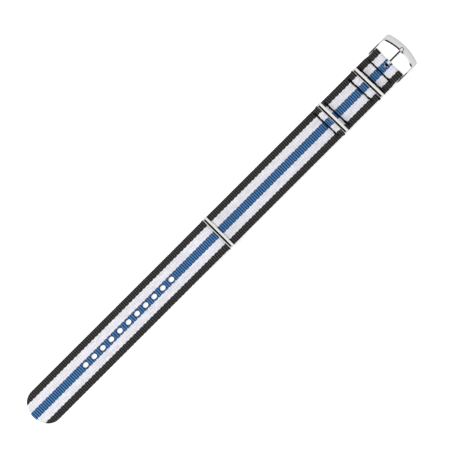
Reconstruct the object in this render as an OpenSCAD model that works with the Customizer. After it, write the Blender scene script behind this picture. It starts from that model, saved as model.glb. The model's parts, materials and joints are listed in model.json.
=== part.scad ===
// Striped webbing watch strap, lying flat with its buckle closed.
// +X runs along the strap from the pointed end to the buckle, +Y across it and +Z up.
// The origin is under the middle of the whole strap, on the surface that it lies on.

/* [Webbing] */
// Width of the webbing
strap_w = 20; // [18:0.5:24]
// Length of the long strap from its point to the buckle's bar
strap_l = 256; // [230:1:280]
// Thickness of one layer of webbing
web_t = 1.2; // [1:0.05:1.4]
// Width of each of the three middle stripes
stripe_w = 4.4; // [3:0.1:5]
// Length of the rounded point
tip_l = 8.3; // [6:0.1:12]

/* [Adjustment holes] */
// Number of holes
hole_count = 11; // [6:1:12]
// First hole's centre from the point
hole_from_tip = 37.9; // [28:0.1:42]
// Distance from hole to hole
hole_pitch = 6.2; // [5:0.1:6.4]
// Length of a hole along the strap
hole_l = 3.1; // [2.8:0.1:3.6]
// Width of a hole
hole_w = 2.5; // [2:0.1:2.7]

/* [Seams] */
// Seam A, next to the buckle, from the buckle's bar
seam_a = 5.3; // [5:0.1:6.5]
// Seam B, on the buckle's side of the first keeper, from the bar
seam_b = 11.6; // [10.5:0.1:13]
// Seam C, on the other side of the first keeper, from that keeper's lower bar
seam_c = 4.2; // [3.6:0.1:5]
// Seam D, on the buckle's side of the second keeper, from the bar
seam_d = 36.3; // [32:0.1:41]
// Seam E, on the other side of the second keeper, from that keeper's lower bar
seam_e = 3.4; // [3.2:0.1:4.6]
// Seam F, that closes the short strap's loop, from the third keeper's lower bar
seam_f = 5.2; // [4.8:0.1:7]
// Webbing left past a seam, where an end lies under it
seam_margin = 2.4; // [1.5:0.1:3.5]
// Stitches in a seam
stitch_count = 6; // [4:1:6]
// Length of one stitch
stitch_l = 2.8; // [2:0.1:2.9]
// Thickness of the thread as it lies on the webbing
thread_d = 0.7; // [0.5:0.05:0.8]
// Thickness of the thread in a needle hole
needle_d = 0.44; // [0.3:0.02:0.5]

/* [Keepers] */
// First keeper's lower bar, from seam B
keeper_1_at = 3.4; // [3.2:0.1:4.4]
// Second keeper's lower bar, from seam D
keeper_2_at = 4.2; // [3.2:0.1:4.8]
// Third keeper's lower bar, from the buckle's bar
keeper_3_at = 123; // [110:0.1:126]
// Clear height inside a keeper
keeper_h = 3.6; // [3.5:0.1:5]
// Width of the keeper's flattened wire
band_w = 2.6; // [2.2:0.1:2.8]
// Thickness of the keeper's flattened wire
band_t = 0.68; // [0.5:0.02:0.8]
// Radius of the crown on the wire's outer face
crown_r = 3; // [2.6:0.1:8]
// Inside radius of a keeper's corners
keeper_r = 0.35; // [0.25:0.05:0.8]
// How far a keeper leans towards the buckle at rest, in degrees
keeper_lean = 13; // [0:1:14]
// How far a keeper can lean either way, in degrees
keeper_tilt = 15; // [14:1:18]

/* [Buckle frame] */
// Reach of the frame from the bar to its front edge
buckle_reach = 13.4; // [12:0.1:16]
// Width of the front bar
front_w = 3.4; // [2.6:0.1:4]
// Thickness of the front bar
front_t = 2.2; // [2:0.1:2.8]
// Height of the front bar's outer edge, where its face has curved down
front_edge = 1.2; // [0.8:0.1:1.4]
// Width of the flat land along the front bar's inner edge
land_w = 0.6; // [0.4:0.1:1]
// Crease between the land and the curved face, in degrees
land_crease = 6; // [2:1:12]
// Radius of the front bar's eased outer edge
ease_r = 0.3; // [0.15:0.05:0.4]
// Height of the floor of the notch that the tongue rests in
notch_z = 1; // [0.8:0.1:1.1]
// Radius of the front bar's sweep
front_r = 32; // [28:1:40]
// Radius of the frame's front corners
corner_r = 2; // [1:0.1:2.4]
// Thickness of a side arm, across the strap
arm_t = 1; // [0.8:0.05:1.2]
// Height of a side arm
arm_h = 2; // [1.8:0.1:2.1]
// Radius of the eased edges along an arm
arm_ease = 0.35; // [0.2:0.05:0.38]
// How far in front of the bar an arm stays level before it bends down
arm_level = 3.9; // [2.5:0.1:5]
// How far an arm reaches behind the bar
arm_back = 3.3; // [2:0.1:3.4]

/* [Buckle tongue] */
// How far the tongue's tip laps onto the front bar
tongue_lap = 1.4; // [0.6:0.1:1.6]
// Width of the tongue's shank
tongue_w = 1.5; // [1.2:0.1:1.8]
// Thickness of the tongue's shank
tongue_t = 1; // [0.8:0.05:1.1]
// Width of the loop round the bar
loop_w = 1.6; // [1.6:0.1:2.4]
// Wall of the loop round the bar
loop_wall = 0.8; // [0.6:0.05:0.9]

/* [Spring bar] */
// Diameter of the tube
bar_d = 1.5; // [1.4:0.05:1.7]
// Wall of the tube
bar_wall = 0.23; // [0.18:0.01:0.25]
// Diameter of the pivots at the tips
pivot_d = 0.8; // [0.7:0.05:0.9]
// Thickness of the tips' flanges
flange_t = 0.35; // [0.25:0.05:0.5]
// Length of the tips' heads inside the tube
head_l = 1.2; // [0.8:0.1:2]
// Thickness of the spring's wire
wire_d = 0.2; // [0.14:0.02:0.22]
// Turns of the spring
spring_turns = 20; // [12:1:24]

/* [Fits] */
// Gap between layers of webbing that lie on each other
layer_gap = 0.06; // [0.04:0.01:0.1]
// Room round the bar in the webbing's fold
fold_gap = 0.1; // [0.08:0.01:0.2]
// How far each edge of the webbing is drawn in between the arms
fold_tuck = 0.35; // [0.2:0.05:0.6]
// Gap between the webbing and an arm
arm_gap = 0.2; // [0.1:0.05:0.3]
// Gap between the webbing's edge and a keeper
keeper_gap = 0.12; // [0.1:0.01:0.3]
// Room round a keeper's lower bar in its pocket
pocket_gap = 0.12; // [0.1:0.01:0.2]
// Gap between the tongue's loop and the sides of the slot in the fold
slot_gap = 0.2; // [0.15:0.05:0.3]
// Room behind the tongue's loop, where the tongue goes when it stands up
swing_gap = 0.35; // [0.3:0.05:0.8]
// Gap between the tongue's loop and the tube
loop_gap = 0.05; // [0.03:0.01:0.08]
// Gap between the tongue and its notch in the front bar
notch_gap = 0.1; // [0.08:0.01:0.2]
// Gap round a pivot in its arm, and round a head in the tube
pivot_gap = 0.03; // [0.02:0.005:0.05]
// Gap round a thread in the webbing
stitch_gap = 0.03; // [0.02:0.005:0.05]

/* [Hidden] */
$fn = 48;

// Places along the strap
total_l = strap_l + buckle_reach;
tip_x = -total_l / 2;
bar_x = tip_x + strap_l;
front_x = bar_x + buckle_reach;
k1_x = bar_x - seam_b - keeper_1_at;
k2_x = bar_x - seam_d - keeper_2_at;
k3_x = bar_x - keeper_3_at;
seam_xs = [bar_x - seam_a, bar_x - seam_b, k1_x - seam_c, bar_x - seam_d, k2_x - seam_e];
seam_f_x = k3_x + seam_f;
fold_end_x = seam_xs[2] - seam_margin;
root_x = seam_xs[3] + seam_margin;
turn_end_x = seam_f_x + seam_margin;

// Stripes from one edge to the other, and their colours
stripe_edges = [for (i = [-1.5:1:1.5]) i * stripe_w];
stripe_colours = ["#3a3a3a", "#e9e7ee", "#3f6894", "#e9e7ee", "#3a3a3a"];
steel = "#c9ccd0";
bright_steel = "#dfe1e4";
thread_black = "#1d1d1f";

// Heights: a second layer lies on the first, and a seam's needle thread is pulled into its top,
// while the bobbin thread just clears the surface under the strap
lay = web_t + layer_gap;
seam_top = lay + web_t;
lock_z = web_t + layer_gap / 2;
pull_in = 0.05;
rest_gap = 0.02;
needle_z = seam_top - pull_in;
bobbin_z = thread_d / 2 + rest_gap;
seam_l = stitch_count * stitch_l;

// The rounded edge of a keeper's lower bar at full tilt, from the bar's middle, and how far
// the bar has bent up where it leaves the webbing
nose_x = (band_w - band_t) / 2 * cos(keeper_tilt);
nose_z = (band_w - band_t) / 2 * sin(keeper_tilt) + band_t / 2;
corner_rise = keeper_r - sqrt(pow(keeper_r, 2) - pow(max(keeper_r - keeper_gap, 0), 2));
wrap_in = nose_z + pocket_gap + corner_rise;
wrap_out = wrap_in + web_t;
keeper_z = wrap_out;
ring_h = keeper_h + band_t;
ring_in = strap_w + 2 * keeper_gap;

// The fold round the spring bar
fold_in = bar_d / 2 + fold_gap;
fold_out = fold_in + web_t;
bar_z = fold_out;
fold_w = strap_w - 2 * fold_tuck;
slot_w = loop_w + 2 * slot_gap;
loop_out = bar_d / 2 + loop_gap + loop_wall;
slot_back = loop_out + swing_gap;
taper_l = 3.5;
tail_ramp = 22;
settle_l = 15;

// The frame
arm_in = fold_w / 2 + arm_gap;
frame_w = 2 * (arm_in + arm_t);
arm_end = buckle_reach - front_w;
arm_drop = atan((bar_z - front_t / 2) / (arm_end - arm_level));
face_w = front_w - land_w;
face_end = 2 * atan((front_t - front_edge) / face_w) - land_crease;
face_r = face_w / (sin(face_end) - sin(land_crease));

// The tongue's shank, from the middle of its round tip back to the loop
tip_mid_x = arm_end + tongue_lap - tongue_w / 2;
shank_back = bar_d / 2 + loop_gap + loop_wall / 2;
shank_tip_z = notch_z + notch_gap + tongue_t / 2;
shank_drop = atan((bar_z - shank_tip_z) / (tip_mid_x - shank_back));

// The spring bar, outward from the middle of the strap. Pressed in, the pivots come clear of the
// arms while the flanges still clear the tube
pivot_back = 0.15;
end_gap = 0.1;
free_gap = 0.05;
lip_t = 0.3;
neck_step = 0.04;
flange_step = 0.05;
spring_gap = 0.02;
pivot_end = arm_in + arm_t - pivot_back;
flange_out = arm_in - end_gap;
flange_in = flange_out - flange_t;
tip_travel = pivot_end - arm_in + free_gap;
tube_end = flange_in - tip_travel - free_gap;
bore_r = bar_d / 2 - bar_wall;
head_r = bore_r - pivot_gap;
neck_r = pivot_d / 2 - neck_step;
head_out = tube_end - lip_t - pivot_gap;
head_in = head_out - head_l;
spring_end = head_in - spring_gap;
coil_r = head_r - wire_d / 2 - spring_gap;

// How far a cut or a blank runs past what it has to clear, and the height of a tall blank
past = 1;
blank_h = 20;

// A layer's run in side view: stations are [x, height of its underside], joined by smooth ramps
ramp_steps = 12;
function ease(u) = (1 - cos(180 * u)) / 2;
function run_point(a, b, u, side) =
    let (slope = (b[1] - a[1]) / (b[0] - a[0]) * PI / 2 * sin(180 * u), n = sqrt(1 + slope * slope))
    [a[0] + (b[0] - a[0]) * u - side * slope / n,
     a[1] + (b[1] - a[1]) * ease(u) + web_t / 2 + side / n];
function run_side(stations, side) = [
    for (i = [1:len(stations) - 1])
        let (a = stations[i - 1], b = stations[i], steps = a[1] == b[1] ? 1 : ramp_steps)
        for (k = [0:steps - (i == len(stations) - 1 ? 0 : 1)]) run_point(a, b, k / steps, side)
];
function backwards(points) = [for (i = [len(points) - 1:-1:0]) points[i]];

// How far the webbing arches over a keeper's lower bar, so that it clears the bar's edge on the
// steeper side
probe_r = (band_t + web_t) / 2 + corner_rise;
probe_x = nose_x + probe_r * sin(45);
probe_z = keeper_z + nose_z - band_t / 2 + probe_r * cos(45);
function arch(ramp) = (probe_z - lay - web_t / 2) / (1 - ease(probe_x / ramp));

main_run = [
    [tip_x, 0],
    [k3_x - nose_x - tail_ramp, 0],
    [k3_x - nose_x, keeper_z + wrap_in + lay],
    [k3_x + nose_x, keeper_z + wrap_in + lay],
    [k3_x + nose_x + settle_l, lay],
    [seam_xs[4], lay],
    [k2_x, lay + arch(min(k2_x - seam_xs[4], seam_xs[3] - k2_x))],
    [seam_xs[3], lay],
    [seam_xs[2], lay],
    [k1_x, lay + arch(min(k1_x - seam_xs[2], seam_xs[1] - k1_x))],
    [seam_xs[1], lay],
    [seam_xs[0], lay],
    [bar_x, bar_z + fold_in]
];
turned_run = [
    [k3_x - nose_x, keeper_z + wrap_in],
    [k3_x + nose_x, keeper_z + wrap_in],
    [seam_f_x, lay],
    [turn_end_x, lay]
];

// Side view of one run of webbing
module run(stations) {
    polygon(concat(run_side(stations, -web_t / 2), backwards(run_side(stations, web_t / 2))));
}

// Side view of webbing turned back round a bar, with the turn towards +X
module turn(r_in, r_out) {
    difference() {
        circle(r = r_out);
        circle(r = r_in);
        translate([-2 * r_out, -2 * r_out]) square([2 * r_out, 4 * r_out]);
    }
}

module main_side() {
    run(main_run);
    translate([bar_x, bar_z]) turn(fold_in, fold_out);
    translate([fold_end_x, 0]) square([bar_x - fold_end_x, web_t]);
}

module short_side() {
    run(turned_run);
    translate([k3_x - nose_x, keeper_z]) mirror([1, 0]) turn(wrap_in, wrap_out);
    translate([k3_x - nose_x, 0]) square([root_x - k3_x + nose_x, web_t]);
}

// A side view drawn out across the strap, one coloured stripe after another
module webbing() {
    edges = concat([-strap_w / 2 - past], stripe_edges, [strap_w / 2 + past]);
    for (i = [0:4])
        color(stripe_colours[i])
            translate([0, edges[i + 1], 0])
                rotate([90, 0, 0])
                    linear_extrude(height = edges[i + 1] - edges[i]) children();
}

// Plan of the long strap, with its point and its narrowing between the buckle's arms
module main_plan() {
    wide = strap_w / 2;
    narrow = fold_w / 2;
    taper_x = bar_x - arm_back - arm_gap;
    point = [for (a = [-90:6:90]) [tip_x + tip_l * (1 - cos(a)), wide * sin(a)]];
    polygon(concat(point, [
        [taper_x - taper_l, wide], [taper_x, narrow], [bar_x + 2 * fold_out, narrow],
        [bar_x + 2 * fold_out, -narrow], [taper_x, -narrow], [taper_x - taper_l, -wide]
    ]));
}

// A flat shape with round ends, length l and width w
module stadium(l, w) {
    square([l - w, w], center = true);
    for (s = [-1, 1]) translate([s * (l - w) / 2, 0]) circle(d = w);
}

// A flat shape with eased corners, length l and width w
module eased(l, w, r) {
    square([l - 2 * r, w], center = true);
    square([l, w - 2 * r], center = true);
    for (sx = [-1, 1], sy = [-1, 1])
        translate([sx * (l / 2 - r), sy * (w / 2 - r)]) circle(r = r);
}

// A flat bar of some section w wide, along +X, whose round nose is centred on the origin
module flat_bar(l, w) {
    rotate([90, 0, 90]) linear_extrude(height = l) children();
    rotate([0, 0, 90]) rotate_extrude(angle = 180) intersection() {
        children();
        translate([0, -w]) square([w, 2 * w]);
    }
}

// The places along a seam where the needle went through
function needle_ys() = [for (i = [0:stitch_count]) (i - stitch_count / 2) * stitch_l];

// What a seam at x presses and pierces in the webbing
module seam_cuts(x) {
    for (z = [needle_z, bobbin_z])
        translate([x, 0, z]) rotate([90, 0, 0])
            cylinder(d = thread_d + 2 * stitch_gap, h = seam_l + thread_d, center = true);
    for (y = needle_ys())
        translate([x, y, -past]) cylinder(d = needle_d + 2 * stitch_gap, h = seam_top + 2 * past);
}

// One thread of a seam, lying on top: its length along the webbing, and a leg down each needle hole
module thread(leg) {
    color(thread_black) {
        rotate([90, 0, 0]) cylinder(d = thread_d, h = seam_l + needle_d, center = true);
        for (y = needle_ys()) translate([0, y, -leg]) cylinder(d = needle_d, h = leg);
    }
}

// The needle thread's legs and the bobbin thread's meet at the lock, between the layers
module needle_thread(x) { translate([x, 0, needle_z]) thread(needle_z - lock_z); }
module bobbin_thread(x) { translate([x, 0, bobbin_z]) rotate([180, 0, 0]) thread(lock_z - bobbin_z); }

module main_strap() {
    difference() {
        intersection() {
            webbing() main_side();
            translate([0, 0, -past]) linear_extrude(height = blank_h) main_plan();
        }
        for (i = [0:hole_count - 1])
            translate([tip_x + hole_from_tip + i * hole_pitch, 0, -past])
                linear_extrude(height = web_t + 2 * past) stadium(hole_l, hole_w);
        for (x = seam_xs) seam_cuts(x);
        translate([bar_x - slot_back, -slot_w / 2, -past])
            cube([slot_back + 2 * fold_out, slot_w, 2 * fold_out + 2 * past]);
    }
}

module short_strap() {
    difference() {
        intersection() {
            webbing() short_side();
            translate([k3_x - 3 * wrap_out, -strap_w / 2, -past])
                cube([root_x - k3_x + 6 * wrap_out, strap_w, blank_h]);
        }
        for (x = [seam_xs[3], seam_xs[4], seam_f_x]) seam_cuts(x);
    }
}

// Section of a keeper's wire: round edges and a flat inner face, crowned on the outer face at +Y
module wire() {
    intersection() {
        stadium(band_w, band_t);
        translate([0, band_t / 2 - crown_r]) circle(r = crown_r, $fn = 120);
    }
}

// A keeper about the middle of its lower bar: four straight lengths and four bent corners
module ring() {
    half_w = ring_in / 2 - keeper_r;
    low = band_t / 2 + keeper_r;
    color(bright_steel) translate([0, 0, ring_h / 2]) for (mz = [0, 1]) mirror([0, 0, mz]) {
        translate([0, 0, ring_h / 2]) rotate([90, 0, 0])
            linear_extrude(height = 2 * half_w, center = true) wire();
        for (my = [0, 1]) mirror([0, my, 0]) {
            translate([0, (ring_in + band_t) / 2, 0])
                linear_extrude(height = ring_h / 2 - low) wire();
            translate([0, half_w, low - ring_h / 2]) rotate([0, 90, 0])
                rotate_extrude(angle = 90)
                    translate([keeper_r + band_t / 2, 0]) rotate(-90) wire();
        }
    }
}

module keeper(x) { translate([x, 0, keeper_z]) rotate([0, keeper_lean, 0]) ring(); }
module keeper_1() { keeper(k1_x); }
module keeper_2() { keeper(k2_x); }
module keeper_3() { keeper(k3_x); }

// What easing takes off the front bar's top outer corner, for a corner at the origin
module corner_waste() {
    difference() {
        translate([-ease_r, -ease_r]) square([ease_r + past, ease_r + past]);
        translate([-ease_r, -ease_r]) circle(r = ease_r);
    }
}

// Section of the front bar from its inner edge outwards: a flat land, then a face that curves down
module front_section() {
    difference() {
        intersection() {
            square([front_w, front_t]);
            translate([land_w - face_r * sin(land_crease), front_t - face_r * cos(land_crease)])
                circle(r = face_r, $fn = 120);
        }
        translate([front_w, front_edge]) corner_waste();
    }
}

// The front bar's section, swept on its curve and rounded at the frame's corners
module front_bar() {
    sweep = asin((frame_w / 2 + past) / front_r);
    corner_x = front_x - front_r + sqrt(pow(front_r, 2) - pow(frame_w / 2 - corner_r, 2)) - corner_r;
    intersection() {
        translate([front_x - front_r, 0, 0]) rotate([0, 0, -sweep])
            rotate_extrude(angle = 2 * sweep, $fn = 180)
                translate([front_r - front_w, 0]) front_section();
        translate([0, 0, -past]) linear_extrude(height = front_t + 2 * past) {
            translate([bar_x, corner_r - frame_w / 2])
                square([2 * buckle_reach, frame_w - 2 * corner_r]);
            translate([bar_x, -frame_w / 2]) square([corner_x - bar_x, frame_w]);
            for (s = [-1, 1]) translate([corner_x, s * (frame_w / 2 - corner_r)]) circle(r = corner_r);
        }
    }
}

// The tongue's shank, grown by a gap where it shapes its notch
module shank(gap = 0) {
    length = (tip_mid_x - shank_back) / cos(shank_drop);
    translate([bar_x + tip_mid_x, 0, shank_tip_z]) rotate([0, -shank_drop, 180])
        flat_bar(length, tongue_w + 2 * gap) stadium(tongue_w + 2 * gap, tongue_t + 2 * gap);
}

// One stretch of an arm, from the middle of its round end forwards, falling by some angle
module arm_stretch(x, l, fall) {
    translate([x, 0, 0]) rotate([90, fall, 0]) flat_bar(l, arm_h) eased(arm_h, arm_t, arm_ease);
}

// A side arm about the bar: level beside the webbing, then down to the front bar
module arm() {
    rear = arm_back - arm_h / 2;
    arm_stretch(-rear, rear + arm_level, 0);
    arm_stretch(arm_level, (arm_end - arm_level) / cos(arm_drop), arm_drop);
}

module buckle_frame() {
    color(steel) difference() {
        union() {
            front_bar();
            for (s = [-1, 1]) translate([bar_x, s * (arm_in + arm_t / 2), bar_z]) arm();
        }
        translate([bar_x, 0, bar_z]) rotate([90, 0, 0])
            cylinder(d = pivot_d + 2 * pivot_gap, h = frame_w + 2 * past, center = true);
        shank(notch_gap);
    }
}

module buckle_tongue() {
    color(bright_steel) difference() {
        union() {
            translate([bar_x, 0, bar_z]) rotate([90, 0, 0])
                cylinder(r = loop_out, h = loop_w, center = true);
            shank();
        }
        translate([bar_x, 0, bar_z]) rotate([90, 0, 0])
            cylinder(d = bar_d + 2 * loop_gap, h = loop_w + 2 * past, center = true);
    }
}

// A cylinder along +Y between two places from the middle of the spring bar
module along_bar(from, to, r) {
    translate([bar_x, from, bar_z]) rotate([-90, 0, 0]) cylinder(r = r, h = to - from);
}

module spring_bar_tube() {
    color(steel) difference() {
        along_bar(-tube_end, tube_end, bar_d / 2);
        along_bar(-tube_end + lip_t, tube_end - lip_t, bore_r);
        along_bar(-tube_end - past, tube_end + past, neck_r + pivot_gap);
    }
}

module spring_bar_tip() {
    color(bright_steel) {
        along_bar(head_in, head_out, head_r);
        along_bar(head_in, pivot_end, neck_r);
        along_bar(flange_in, flange_out, bar_d / 2 - flange_step);
        along_bar(flange_in, pivot_end, pivot_d / 2);
    }
}

module spring_bar_tip_right() { spring_bar_tip(); }
module spring_bar_tip_left() { mirror([0, 1, 0]) spring_bar_tip(); }

// The coil spring: rings of points round the wire, one after another along the helix
wire_sides = 6;
rings_a_turn = 10;
module spring_bar_spring() {
    rings = spring_turns * rings_a_turn;
    length = 2 * (spring_end - wire_d / 2);
    points = [for (i = [0:rings], k = [0:wire_sides - 1])
        let (a = 360 * i / rings_a_turn, b = 360 * k / wire_sides, r = coil_r + wire_d / 2 * cos(b))
        [bar_x + r * cos(a), length * (i / rings - 0.5) + wire_d / 2 * sin(b), bar_z + r * sin(a)]];
    skin = [for (i = [0:rings - 1], k = [0:wire_sides - 1])
        let (a = i * wire_sides + k, b = i * wire_sides + (k + 1) % wire_sides)
        each [[a, b, b + wire_sides], [a, b + wire_sides, a + wire_sides]]];
    last = rings * wire_sides;
    ends = [for (k = [1:wire_sides - 2]) each [[0, k + 1, k], [last, last + k, last + k + 1]]];
    color("#8f9296") polyhedron(points = points, faces = concat(skin, ends));
}

main_strap();
short_strap();
keeper_1();
keeper_2();
keeper_3();
buckle_frame();
buckle_tongue();
spring_bar_tube();
spring_bar_spring();
spring_bar_tip_left();
spring_bar_tip_right();
needle_thread(seam_xs[0]);  // needle_thread_a
needle_thread(seam_xs[1]);  // needle_thread_b
needle_thread(seam_xs[2]);  // needle_thread_c
needle_thread(seam_xs[3]);  // needle_thread_d
needle_thread(seam_xs[4]);  // needle_thread_e
needle_thread(seam_f_x);  // needle_thread_f
bobbin_thread(seam_xs[0]);  // bobbin_thread_a
bobbin_thread(seam_xs[1]);  // bobbin_thread_b
bobbin_thread(seam_xs[2]);  // bobbin_thread_c
bobbin_thread(seam_xs[3]);  // bobbin_thread_d
bobbin_thread(seam_xs[4]);  // bobbin_thread_e
bobbin_thread(seam_f_x);  // bobbin_thread_f
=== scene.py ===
import json
import math

import bmesh
import bpy
import numpy as np
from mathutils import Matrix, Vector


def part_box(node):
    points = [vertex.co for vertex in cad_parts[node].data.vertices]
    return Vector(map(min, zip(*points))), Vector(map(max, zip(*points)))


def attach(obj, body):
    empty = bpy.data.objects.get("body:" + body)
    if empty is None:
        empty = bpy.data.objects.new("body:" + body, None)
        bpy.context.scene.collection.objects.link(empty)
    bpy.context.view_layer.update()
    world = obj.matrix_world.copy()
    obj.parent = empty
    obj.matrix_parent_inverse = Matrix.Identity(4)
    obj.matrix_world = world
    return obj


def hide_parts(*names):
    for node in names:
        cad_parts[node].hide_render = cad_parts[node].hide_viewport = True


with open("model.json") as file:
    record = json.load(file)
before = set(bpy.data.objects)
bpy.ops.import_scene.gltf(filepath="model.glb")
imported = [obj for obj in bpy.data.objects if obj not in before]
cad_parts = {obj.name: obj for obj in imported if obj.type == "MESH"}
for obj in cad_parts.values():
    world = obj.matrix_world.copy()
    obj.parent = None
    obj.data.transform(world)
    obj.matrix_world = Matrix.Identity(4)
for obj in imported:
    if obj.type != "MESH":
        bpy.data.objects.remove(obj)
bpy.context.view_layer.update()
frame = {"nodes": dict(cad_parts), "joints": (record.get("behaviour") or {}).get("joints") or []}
print("frame loaded")

mm = 0.001  # the script works in millimetres and Blender in metres


# Colours are sRGB hex, as picked in a paint program
def toLinear(hexColour):
    channels = [int(hexColour[i:i + 2], 16) / 255 for i in (1, 3, 5)]
    return tuple(c / 12.92 if c <= 0.04045 else ((c + 0.055) / 1.055) ** 2.4 for c in channels) + (1.0,)


# Adds a node; settings are its properties, and inputs takes values or sockets to link from
def addNode(tree, kind, inputs=None, **settings):
    node = tree.nodes.new(kind)
    for name, value in settings.items():
        setattr(node, name, value)
    for name, value in (inputs or {}).items():
        if isinstance(value, bpy.types.NodeSocket):
            tree.links.new(value, node.inputs[name])
        else:
            node.inputs[name].default_value = value
    return node


def newMaterial(name):
    material = bpy.data.materials.new(name)
    material.use_nodes = True
    tree = material.node_tree
    return material, tree, tree.nodes["Principled BSDF"]


def middleOf(node):
    low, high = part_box(node)
    return [(a + b) / 2 / mm for a, b in zip(low, high)]


def newPiece(name, points, faces, body, materials, uvs=None, sharp=75):
    mesh = bpy.data.meshes.new(name)
    mesh.from_pydata([tuple(c * mm for c in p) for p in points], [], faces)
    if uvs is not None:
        layer = mesh.uv_layers.new(name="weave")
        corners = np.array([loop.vertex_index for loop in mesh.loops])
        layer.data.foreach_set("uv", np.asarray(uvs, float)[corners].ravel())
    tidyMesh(mesh, sharp)
    piece = bpy.data.objects.new(name, mesh)
    bpy.context.scene.collection.objects.link(piece)
    for material in materials:
        mesh.materials.append(material)
    if body:
        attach(piece, body)
    return piece


# Faces outward and smooth, with edges kept only where the surface turns sharply
def tidyMesh(mesh, sharp):
    work = bmesh.new()
    work.from_mesh(mesh)
    bmesh.ops.recalc_face_normals(work, faces=work.faces)
    work.to_mesh(mesh)
    work.free()
    mesh.polygons.foreach_set("use_smooth", [True] * len(mesh.polygons))
    mesh.set_sharp_from_angle(angle=math.radians(sharp))


# Faces between rows of points that each go once round a section
def skinFaces(rows, sides, closed=False):
    last = rows if closed else rows - 1
    return [(i * sides + k, i * sides + (k + 1) % sides,
             (i + 1) % rows * sides + (k + 1) % sides, (i + 1) % rows * sides + k)
            for i in range(last) for k in range(sides)]


def endFaces(rows, sides):
    return [tuple(range(sides)), tuple(range((rows - 1) * sides, rows * sides))]


# A closed tube through points, its section a list of (out, up) offsets, out being level
def sweep(path, section, closed=False):
    path = np.asarray(path, float)
    ahead = np.roll(path, -1, 0) - np.roll(path, 1, 0)
    if not closed:
        ahead[0] = path[1] - path[0]
        ahead[-1] = path[-1] - path[-2]
    ahead /= np.linalg.norm(ahead, axis=1)[:, None]
    out = np.cross(ahead, (0, 0, 1))
    out /= np.linalg.norm(out, axis=1)[:, None]
    up = np.cross(out, ahead)
    sides = len(section)
    points = [path[i] + a * out[i] + b * up[i] for i in range(len(path)) for a, b in section]
    faces = skinFaces(len(path), sides, closed)
    if not closed:
        faces += endFaces(len(path), sides)
    return points, faces


def roundSection(radius, sides):
    turns = [2 * math.pi * k / sides for k in range(sides)]
    return [(radius * math.cos(a), radius * math.sin(a)) for a in turns]


# Points on an arc about (x, z), from one angle to another
def corner(x, z, radius, start, end, count):
    angles = [math.radians(start + (end - start) * k / (count - 1)) for k in range(count)]
    return [(x + radius * math.cos(a), z + radius * math.sin(a)) for a in angles]


# The camera hangs straight over the strap, turned so that the strap runs up to the right
view = {
    "over": (4.4, 0.3),      # the point in the middle of the picture
    "height": 865.5,
    "lens": 135,             # with Blender's 36 mm sensor this takes in 231 mm
    "turn": -44.94,
}
camera = bpy.data.objects.new("camera", bpy.data.cameras.new("camera"))
camera.data.lens = view["lens"]
camera.data.clip_start = 0.01
camera.location = (view["over"][0] * mm, view["over"][1] * mm, view["height"] * mm)
camera.rotation_euler = (0, 0, math.radians(view["turn"]))
bpy.context.scene.collection.objects.link(camera)
bpy.context.scene.camera = camera
bpy.context.scene.view_settings.view_transform = "Standard"

# Places read from the frame
joints = {j["name"]: [c / mm for c in j["pos_m"]] for j in frame["joints"] if j.get("pos_m")}
keeperX = {k: joints[f"keeper_{k}_tilt"][0] for k in (1, 2, 3)}
keeperZ = joints["keeper_1_tilt"][2]
barX, _, barZ = joints["buckle_swing"]
seamX = {k: middleOf(f"needle_thread_{k}")[0] for k in "abcdef"}
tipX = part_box("main_strap")[0].x / mm
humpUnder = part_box("main_strap")[1].z / mm - 1.2
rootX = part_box("short_strap")[1].x / mm

webbing = {
    "width": 20,
    "thickness": 1.2,
    "ribPitch": 1.24,        # from one weft to the next
    "ribDepth": 0.17,
    "yarnWidth": 0.55,       # so that a 4.4 mm stripe is eight warp yarns
    "floatDrop": 0.06,       # a yarn sits this much lower where it passes under the weft
    "selvageDip": 0.14,      # the edge pulls in between wefts
    "knit": 0.06,
    "stripes": (2.17, 6.42), # half widths: blue inside the first, white up to the second, then black
    "scallop": 0.115,        # a stripe's edge steps to and fro with the yarns
    "endCrush": 0.78,        # a heat-cut end is this much of the thickness
}


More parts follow.
